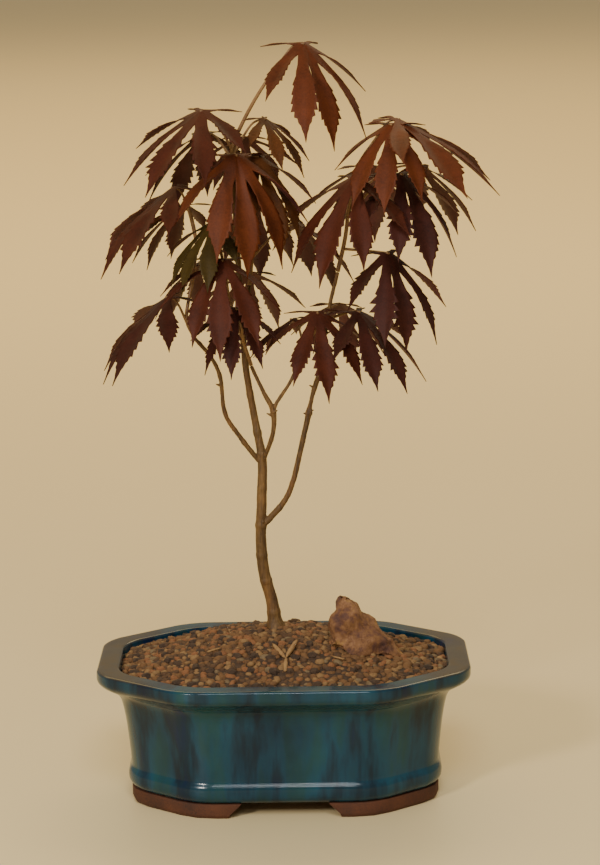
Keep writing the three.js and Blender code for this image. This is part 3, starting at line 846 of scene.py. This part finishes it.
# Each spray: its stem (x, y, z, radius), then a row for each leaf: x, y, z of its heart,
# heading (0 is +X, -90 the front), length, droop and tint
sprays = {
    "crown_top": {
        "stem": [
            (-23.2, 0, 341.4, 1.3), (-23.5, -1, 355, 1.1), (-17.3, -2, 370, 1), (-6.8, -6, 388, 0.9),
            (6, -9, 405, 0.8),
        ],
        "leaves": [
            (15, -10, 412, -52, 64, 62, "rust"), (-6, -2, 372, -30, 38, 52, "umber"),
            (-39, -6, 377, -129, 63, 45, "maroon"), (-21, -16, 354, -76, 72, 72, "rust"),
            (-10, -2, 352, -64, 60, 67, "umber"), (-38, 13, 364, 128, 56, 55, "maroon"),
            (-17, 14, 361, 88, 46, 50, "rust"),
        ],
    },
    "crown_left": {
        "stem": [
            (-45.6, -8, 255, 1.1), (-49.5, -8, 266, 1), (-46, -2, 286, 0.9), (-44, 3, 306, 0.8),
            (-47, 2, 324, 0.8),
        ],
        "leaves": [
            (-55, -2, 336, -170, 64, 48, "maroon"), (-59, -10, 278, -165, 63, 52, "wine"),
            (-51, 22, 324, 140, 48, 52, "umber"), (-42, 17, 293, 138, 44, 58, "maroon"),
        ],
    },
    "crown_middle": {
        "stem": [
            (-15.2, -7, 239.2, 1.1), (-20.7, -12, 258, 1), (-26.5, -15, 278, 0.9),
            (-29, -15, 296, 0.8), (-32, -13, 308, 0.8),
        ],
        "leaves": [
            (-34, -12, 318, -133, 48, 60, "moss"), (-29, -22, 299, -95, 60, 62, "maroon"),
            (-22, -24, 273, -96, 43, 58, "wine"),
        ],
    },
    "crown_low": {
        "stem": [
            (10.9, -5, 240.6, 1), (16.9, -7, 253, 0.9), (24, -7, 262, 0.8), (34, -6, 266, 0.8),
        ],
        "leaves": [
            (21, -14, 269, -78, 52, 56, "maroon"), (43, -7, 268, -38, 56, 50, "wine"),
            (8, 10, 262, 165, 36, 45, "wine"), (33, 18, 269, 76, 48, 52, "maroon"),
        ],
    },
    "crown_right": {
        "stem": [
            (32.3, 1, 288.4, 1.2), (36.8, 1, 308, 1.1), (41, -1, 339, 0.9), (52, -3, 358, 0.8),
            (60, -5, 366, 0.8),
        ],
        "leaves": [
            (42, -14, 341, -122, 64, 58, "maroon"), (65, -6, 371, -12, 70, 38, "rust"),
            (62, -14, 369, -100, 56, 60, "rust"), (67, -8, 342, -58, 60, 60, "wine"),
            (59, -10, 300, -56, 60, 68, "wine"), (50, 22, 344, 86, 57, 56, "maroon"),
            (76, 16, 345, 48, 54, 52, "umber"),
        ],
    },
    "crown_back": {
        "stem": [
            (-16, 27.2, 278.4, 1.2), (-14, 31, 296, 1), (-12, 34, 314, 0.8),
        ],
        "leaves": [
            (-12, 42, 325, 92, 58, 58, "rust"), (11, 32, 312, 40, 50, 55, "maroon"),
            (-16, 42, 284, 92, 52, 58, "wine"),
        ],
    },
}

leafSetup = {
    "seeds": (101, 501),  # of the first mass: for its lie, and for its ragged edge
    "turns": (-122, -75, -37, 0, 37, 75, 122),  # of the lobes, from the middle one, in degrees
    "lengths": (0.34, 0.74, 0.93, 1, 0.93, 0.74, 0.34),
    "turnJitter": 8,
    "sizeRange": (0.94, 0.12),  # the least share, and what chance adds to it
    "sideDroop": 0.7,  # the higher, the less the side lobes hang
    "swing": 0.5,  # a lobe's bend to the side and its twist, in radians
    "twist": 0.9,
    "swingFrom": 0.3,  # share of the lobe where the bend begins
    "pitchRange": (0.75, 0.5),  # share of the droop at the heart, and what the tip adds to it
    "ribSteps": 120,
    "outerSeam": 58,  # degrees from the outermost lobes to the leaf's own edge
    "notch": 0.22,  # share of the shorter neighbour's length where two lobes part
    "leastNotch": 0.04,
    "notchPitch": 0.1,  # share of a lobe whose way tells how far out its notches lie
    "edgeLift": 0.28,  # of the blade's edges, as a share of the half width
    "liftPower": 1.4,
    "thickness": 0.36,
    "mergeWithin": 0.004,
    "baseRows": 5,
    "easeRows": 5,  # over which a lobe frees itself from the notch
    "teeth": 10,  # on each side of a lobe
    "toothDepth": (0.07, 0.32),
    "toothChance": 1.5,  # the higher, the fewer teeth are deep
    "toothPower": 3,  # the higher, the nearer to the edge a tooth begins
    "gapDepth": 0.6,  # share of a tooth's depth that the gap beside it is cut in
    "toothFade": (4, 2.2),  # how fast teeth and veins come in at the notch and go at the tip
    "veinSlant": 0.75,
    "slantShares": (0.8, 1.25),  # in a gap and in a tooth
    "veinSink": 0.16,
    "edgeVein": 0.2,  # share of a vein's depth that is left at the edge
    "columns": (0, 0.4, 0.75, 1),
    # half width along the free part of a lobe, as shares of its length
    "width": ((0, 0.052), (0.1, 0.062), (0.22, 0.082), (0.34, 0.099), (0.45, 0.106), (0.54, 0.102),
              (0.64, 0.083), (0.73, 0.058), (0.82, 0.033), (0.9, 0.015), (0.96, 0.006), (1, 0)),
    # colour, and how deeply the teeth are cut: the darker tints have the more ragged teeth
    "tints": {
        # rust, maroon and wine are much the same red at three strengths, rust mostly on the high leaves and
        # wine on the low ones: partly the leaves' own colour, partly painted light and shade
        "rust": ((0.092, 0.0215, 0.006), 0.42),
        "umber": ((0.084, 0.027, 0.006), 0.75),
        "maroon": ((0.058, 0.0125, 0.005), 1.05),
        "wine": ((0.040, 0.009, 0.005), 1.3),
        # moss, a dark olive, is partly painted shade
        "moss": ((0.044, 0.027, 0.005), 0.8),
    },
    "biteRange": (0.7, 0.6),
    "shades": ((0.32, 0.62), (0.5, 1), (0.68, 1.3)),  # place on the ramp, and share of the tint
    "look": {
        "grain": (75, 900, (1, 1, 1), 0.4),
        "sockets": {"Roughness": 0.58, "Specular IOR Level": 0.15},
        "bump": (0.35, 0.15 * mm),
    },
    "underside": {
        "stops": [(0.32, (0.05, 0.012, 0.012)), (0.68, (0.11, 0.03, 0.024))],
        "grain": (80, 800, (1, 1, 1), 0.35),
        "roughness": (0.5, 0.7),
        "bump": (0.3, 0.15 * mm),
    },
}
ribShares = np.linspace(0, 1, leafSetup["ribSteps"] + 1)


def direction(turn, pitch):
    return np.array((math.cos(turn) * math.cos(pitch), math.sin(turn) * math.cos(pitch), -math.sin(pitch)))


def pitchAt(droop, share):  # how steeply a lobe hangs, some share of the way to its tip
    least, more = leafSetup["pitchRange"]
    return droop * (least + more * share)


def drawRib(heart, lobe):  # the midrib bows down steadily; it may also swing a little sideways
    middle = (ribShares[1:] + ribShares[:-1]) / 2
    turns = lobe["turn"] + lobe["swing"] * np.clip(middle - leafSetup["swingFrom"], 0, 1)
    pitches = pitchAt(lobe["droop"], middle)
    ways = np.stack([np.cos(turns) * np.cos(pitches), np.sin(turns) * np.cos(pitches), -np.sin(pitches)], 1)
    run = np.cumsum(ways * lobe["length"] / leafSetup["ribSteps"], axis=0)
    lobe["rib"] = heart + np.concatenate([np.zeros((1, 3)), run])
    return lobe


def alongRib(lobe, share):
    steps = leafSetup["ribSteps"]
    place = min(max(share, 0), 1) * steps
    i = min(int(place), steps - 1)
    return lobe["rib"][i] + (lobe["rib"][i + 1] - lobe["rib"][i]) * (place - i)


def lobeFrame(lobe, share, twist):  # the ways across and up from the blade
    turn = lobe["turn"] + lobe["swing"] * max(0, share - leafSetup["swingFrom"])
    forward = direction(turn, pitchAt(lobe["droop"], share))
    across = np.array((-math.sin(turn), math.cos(turn), 0))
    up = np.cross(forward, across)
    return across * math.cos(twist) + up * math.sin(twist), up * math.cos(twist) - across * math.sin(twist)


def spreadLobes(headingDegrees, length, droopDegrees, draw, mood):
    shape = leafSetup
    least, more = shape["sizeRange"]
    lobes = []
    for turn, share in zip(shape["turns"], shape["lengths"]):
        hang = math.radians(droopDegrees) * math.cos(math.radians(shape["sideDroop"] * turn))
        lobes.append({
            "turn": math.radians(headingDegrees + turn + shape["turnJitter"] * (draw() - 0.5)),
            "length": length * share * (least + more * draw()) * mm,
            "droop": hang * (least + more * draw()),
            "swing": shape["swing"] * (mood() - 0.5),
            "twist": shape["twist"] * (mood() - 0.5),
        })
    return lobes


def seamLine(heart, a, b, shares):  # where two lobes grow together, from the heart to their notch
    seam = drawRib(heart, {
        "turn": (a["turn"] + b["turn"]) / 2, "length": min(a["length"], b["length"]),
        "droop": (a["droop"] + b["droop"]) / 2, "swing": 0,
    })
    return [alongRib(seam, share * leafSetup["notch"]) for share in shares]


def buildLobe(heart, lobe, sides, baseShares, bite, mood):
    shape = leafSetup
    columns = shape["columns"]
    drawRib(heart, lobe)
    forward = direction(lobe["turn"], pitchAt(lobe["droop"], shape["notchPitch"]))
    reaches = [float((side[-1] - heart) @ forward) / lobe["length"] for side in sides]
    notchShares = [max(shape["leastNotch"], reach) for reach in reaches]
    start = sum(notchShares) / 2
    rows = []
    for k, share in enumerate(baseShares):  # the base, grown together with the neighbours
        centre = alongRib(lobe, start * share)
        left, right = [[side[k] * c + centre * (1 - c) for c in columns[1:]] for side in sides]
        rows.append([*left[::-1], centre, *right])
    count = 2 * shape["teeth"]
    low, high = shape["toothDepth"]
    depths = [
        [low + (high - low) * bite * mood() ** shape["toothChance"] for _ in range(count)] for side in sides
    ]
    fadeIn, fadeOut = shape["toothFade"]
    for j in range(1, count + 1):  # the free part, a tooth and a gap in turn
        u = j / count
        share = start + (1 - start) * j / count
        isTooth = j % 2 == 1
        half = float(np.interp(u, *zip(*shape["width"]))) * lobe["length"]
        fade = min(1, fadeIn * u) * min(1, fadeOut * (1 - u))
        twist = lobe["twist"] * max(0, share - start)
        slant = shape["veinSlant"] * half / lobe["length"] * fade * shape["slantShares"][isTooth]
        ease = max(0, 1 - j / shape["easeRows"])
        row = []
        for side, sign, notchShare, depth in zip(sides, (-1, 1), notchShares, depths):
            seamGap = side[-1] - alongRib(lobe, notchShare)
            jag = depth[j - 1] * fade * (1 if isTooth else -shape["gapDepth"])
            part = []
            for c in columns[1:]:
                along = share + slant * c + ease * (notchShare - start) * c
                base = alongRib(lobe, along)
                across, up = lobeFrame(lobe, along, twist)
                width = half * (1 + jag * c ** shape["toothPower"])
                lift = shape["edgeLift"] * half * c ** shape["liftPower"]
                vein = shape["veinSink"] * mm * fade * (-1 if isTooth else 1)
                vein *= 1 if c < 1 else shape["edgeVein"]
                free = base + across * sign * c * width + up * (lift + vein)
                part.append(free * (1 - ease) + (base + seamGap * c) * ease)
            row.append(part)
        rows.append([*row[0][::-1], alongRib(lobe, share), *row[1]])
    wide = 2 * len(columns) - 1
    corners = [k * wide + c for k in range(len(rows) - 1) for c in range(wide - 1)]
    return [point for row in rows for point in row], [(a, a + wide, a + wide + 1, a + 1) for a in corners]


def buildLeaf(heart, lobes, bite, mood):  # one part for each lobe
    outer = math.radians(leafSetup["outerSeam"])
    before = {**lobes[0], "turn": lobes[0]["turn"] - outer}
    after = {**lobes[-1], "turn": lobes[-1]["turn"] + outer}
    ring = [before, *lobes, after]
    shares = np.linspace(0, 1, leafSetup["baseRows"] + 1)
    seams = [seamLine(heart, a, b, shares) for a, b in zip(ring, ring[1:])]
    pairs = zip(seams, seams[1:])
    return [buildLobe(heart, lobe, sides, shares, bite, mood) for lobe, sides in zip(lobes, pairs)]


stalkSetup = {
    "sides": 8,
    "stemSteps": 40,
    "rootSteps": 12,
    "below": 22,  # a leaf stalk leaves its twig well below the leaf
    "bend": (0.6, 0.82),  # where it bends: share of its way along, and of its way up
    "past": (1.5, 0.6),  # how far it reaches under the leaf's heart, and how far below it
    "radii": (0.85, 0.55, 0.7),
    "steps": 16,
    "look": {
        "stops": [(0.3, (0.10, 0.045, 0.018)), (0.5, (0.20, 0.10, 0.035)), (0.7, (0.26, 0.15, 0.05))],
        "grain": (70, 700, (1, 1, 1), 0.35),
        "roughness": (0.4, 0.6),
        "bump": (0.2, 0.2 * mm),
    },
}


def tube(rows):
    sides = stalkSetup["sides"]
    points, faces = [], []
    for k, (x, y, z, radius) in enumerate(rows):
        before, after = rows[max(0, k - 1), :3], rows[min(len(rows) - 1, k + 1), :3]
        forward = (after - before) / np.linalg.norm(after - before)
        side = np.cross((0.3, 1, 0.1), forward)  # any way that no stem points in
        side /= np.linalg.norm(side)
        other = np.cross(forward, side)
        for n in range(sides):
            turn = 2 * math.pi * n / sides
            spoke = side * math.cos(turn) + other * math.sin(turn)
            points.append(at(*(np.array((x, y, z)) + radius * spoke)))
    for k in range(len(rows) - 1):
        for n in range(sides):
            m = (n + 1) % sides
            faces.append((k * sides + n, k * sides + m, (k + 1) * sides + m, (k + 1) * sides + n))
    faces.append(tuple(reversed(range(sides))))
    faces.append(tuple((len(rows) - 1) * sides + n for n in range(sides)))
    return points, faces


def stalk(nodes, heart, headingDegrees):  # from the nearest of its twig's nodes to the leaf
    setup = stalkSetup
    heart = np.array(heart, float)
    aim = heart - (0, 0, setup["below"])
    root = min(nodes, key=lambda node: np.linalg.norm(node[:3] - aim))[:3]
    past, under = setup["past"]
    end = heart + past * direction(math.radians(headingDegrees), 0) - (0, 0, under)
    along, upward = setup["bend"]
    bend = root + (heart - root) * along
    bend[2] = root[2] + (heart[2] - root[2]) * upward
    points = [(*place, radius) for place, radius in zip((root, bend, end), setup["radii"])]
    return tube(smoothPath(points, setup["steps"]))


def buildFoliage():
    shape = leafSetup
    tints = list(shape["tints"])
    under = mottled("leafUnderside", shape["underside"])
    skins = []
    # one top-face material for each tint; rust, maroon and wine differ mostly in brightness, which is partly
    # painted light and shade
    for tint, (color, _) in shape["tints"].items():
        stops = [(place, tuple(share * c for c in color)) for place, share in shape["shades"]]
        skins += [mottled("leaf" + tint.title(), {**shape["look"], "stops": stops}), under]
    least, more = shape["biteRange"]
    twigs = []
    for i, (node, plan) in enumerate(sprays.items()):
        draw = seeded(shape["seeds"][0] + i)
        mood = seeded(shape["seeds"][1] + i)
        twigs.append(tube(smoothPath(plan["stem"], stalkSetup["stemSteps"])))
        nodes = smoothPath(plan["stem"], stalkSetup["rootSteps"])[2:]
        parts, indices = [], []
        for x, y, z, heading, length, droop, tint in plan["leaves"]:
            bite = shape["tints"][tint][1] * (least + more * mood())
            lobes = spreadLobes(heading, length, droop, draw, mood)
            leaf = buildLeaf(np.array(at(x, y, z)), lobes, bite, mood)
            parts += leaf
            indices += [2 * tints.index(tint)] * sum(len(faces) for points, faces in leaf)
            twigs.append(stalk(nodes, (x, y, z), heading))
        piece = meshPiece("leaves" + node.title().replace("_", ""), parts)
        paint(piece, *skins)
        piece.data.polygons.foreach_set("material_index", indices)
        editAll(piece)
        bpy.ops.mesh.remove_doubles(threshold=shape["mergeWithin"] * mm)
        bpy.ops.object.mode_set(mode="OBJECT")
        blade = piece.modifiers.new("blade", "SOLIDIFY")
        blade.thickness = shape["thickness"] * mm
        blade.offset = 0
        blade.material_offset = 1  # the lower face takes the underside's colour
        applyAll(piece)
        dress(piece, "foliage", node)
    stems = meshPiece("leafStalks", twigs)
    paint(stems, mottled("leafStalks", stalkSetup["look"]))
    dress(stems, "foliage")


print("frame loaded")
addCamera()
addStudio()
print("camera and studio set")
buildPot()
buildFeet()
print("pot made")
buildGravel()
buildStone()
print("gravel and stone made")
buildWood()
print("wood made")
buildFoliage()
print("foliage made")
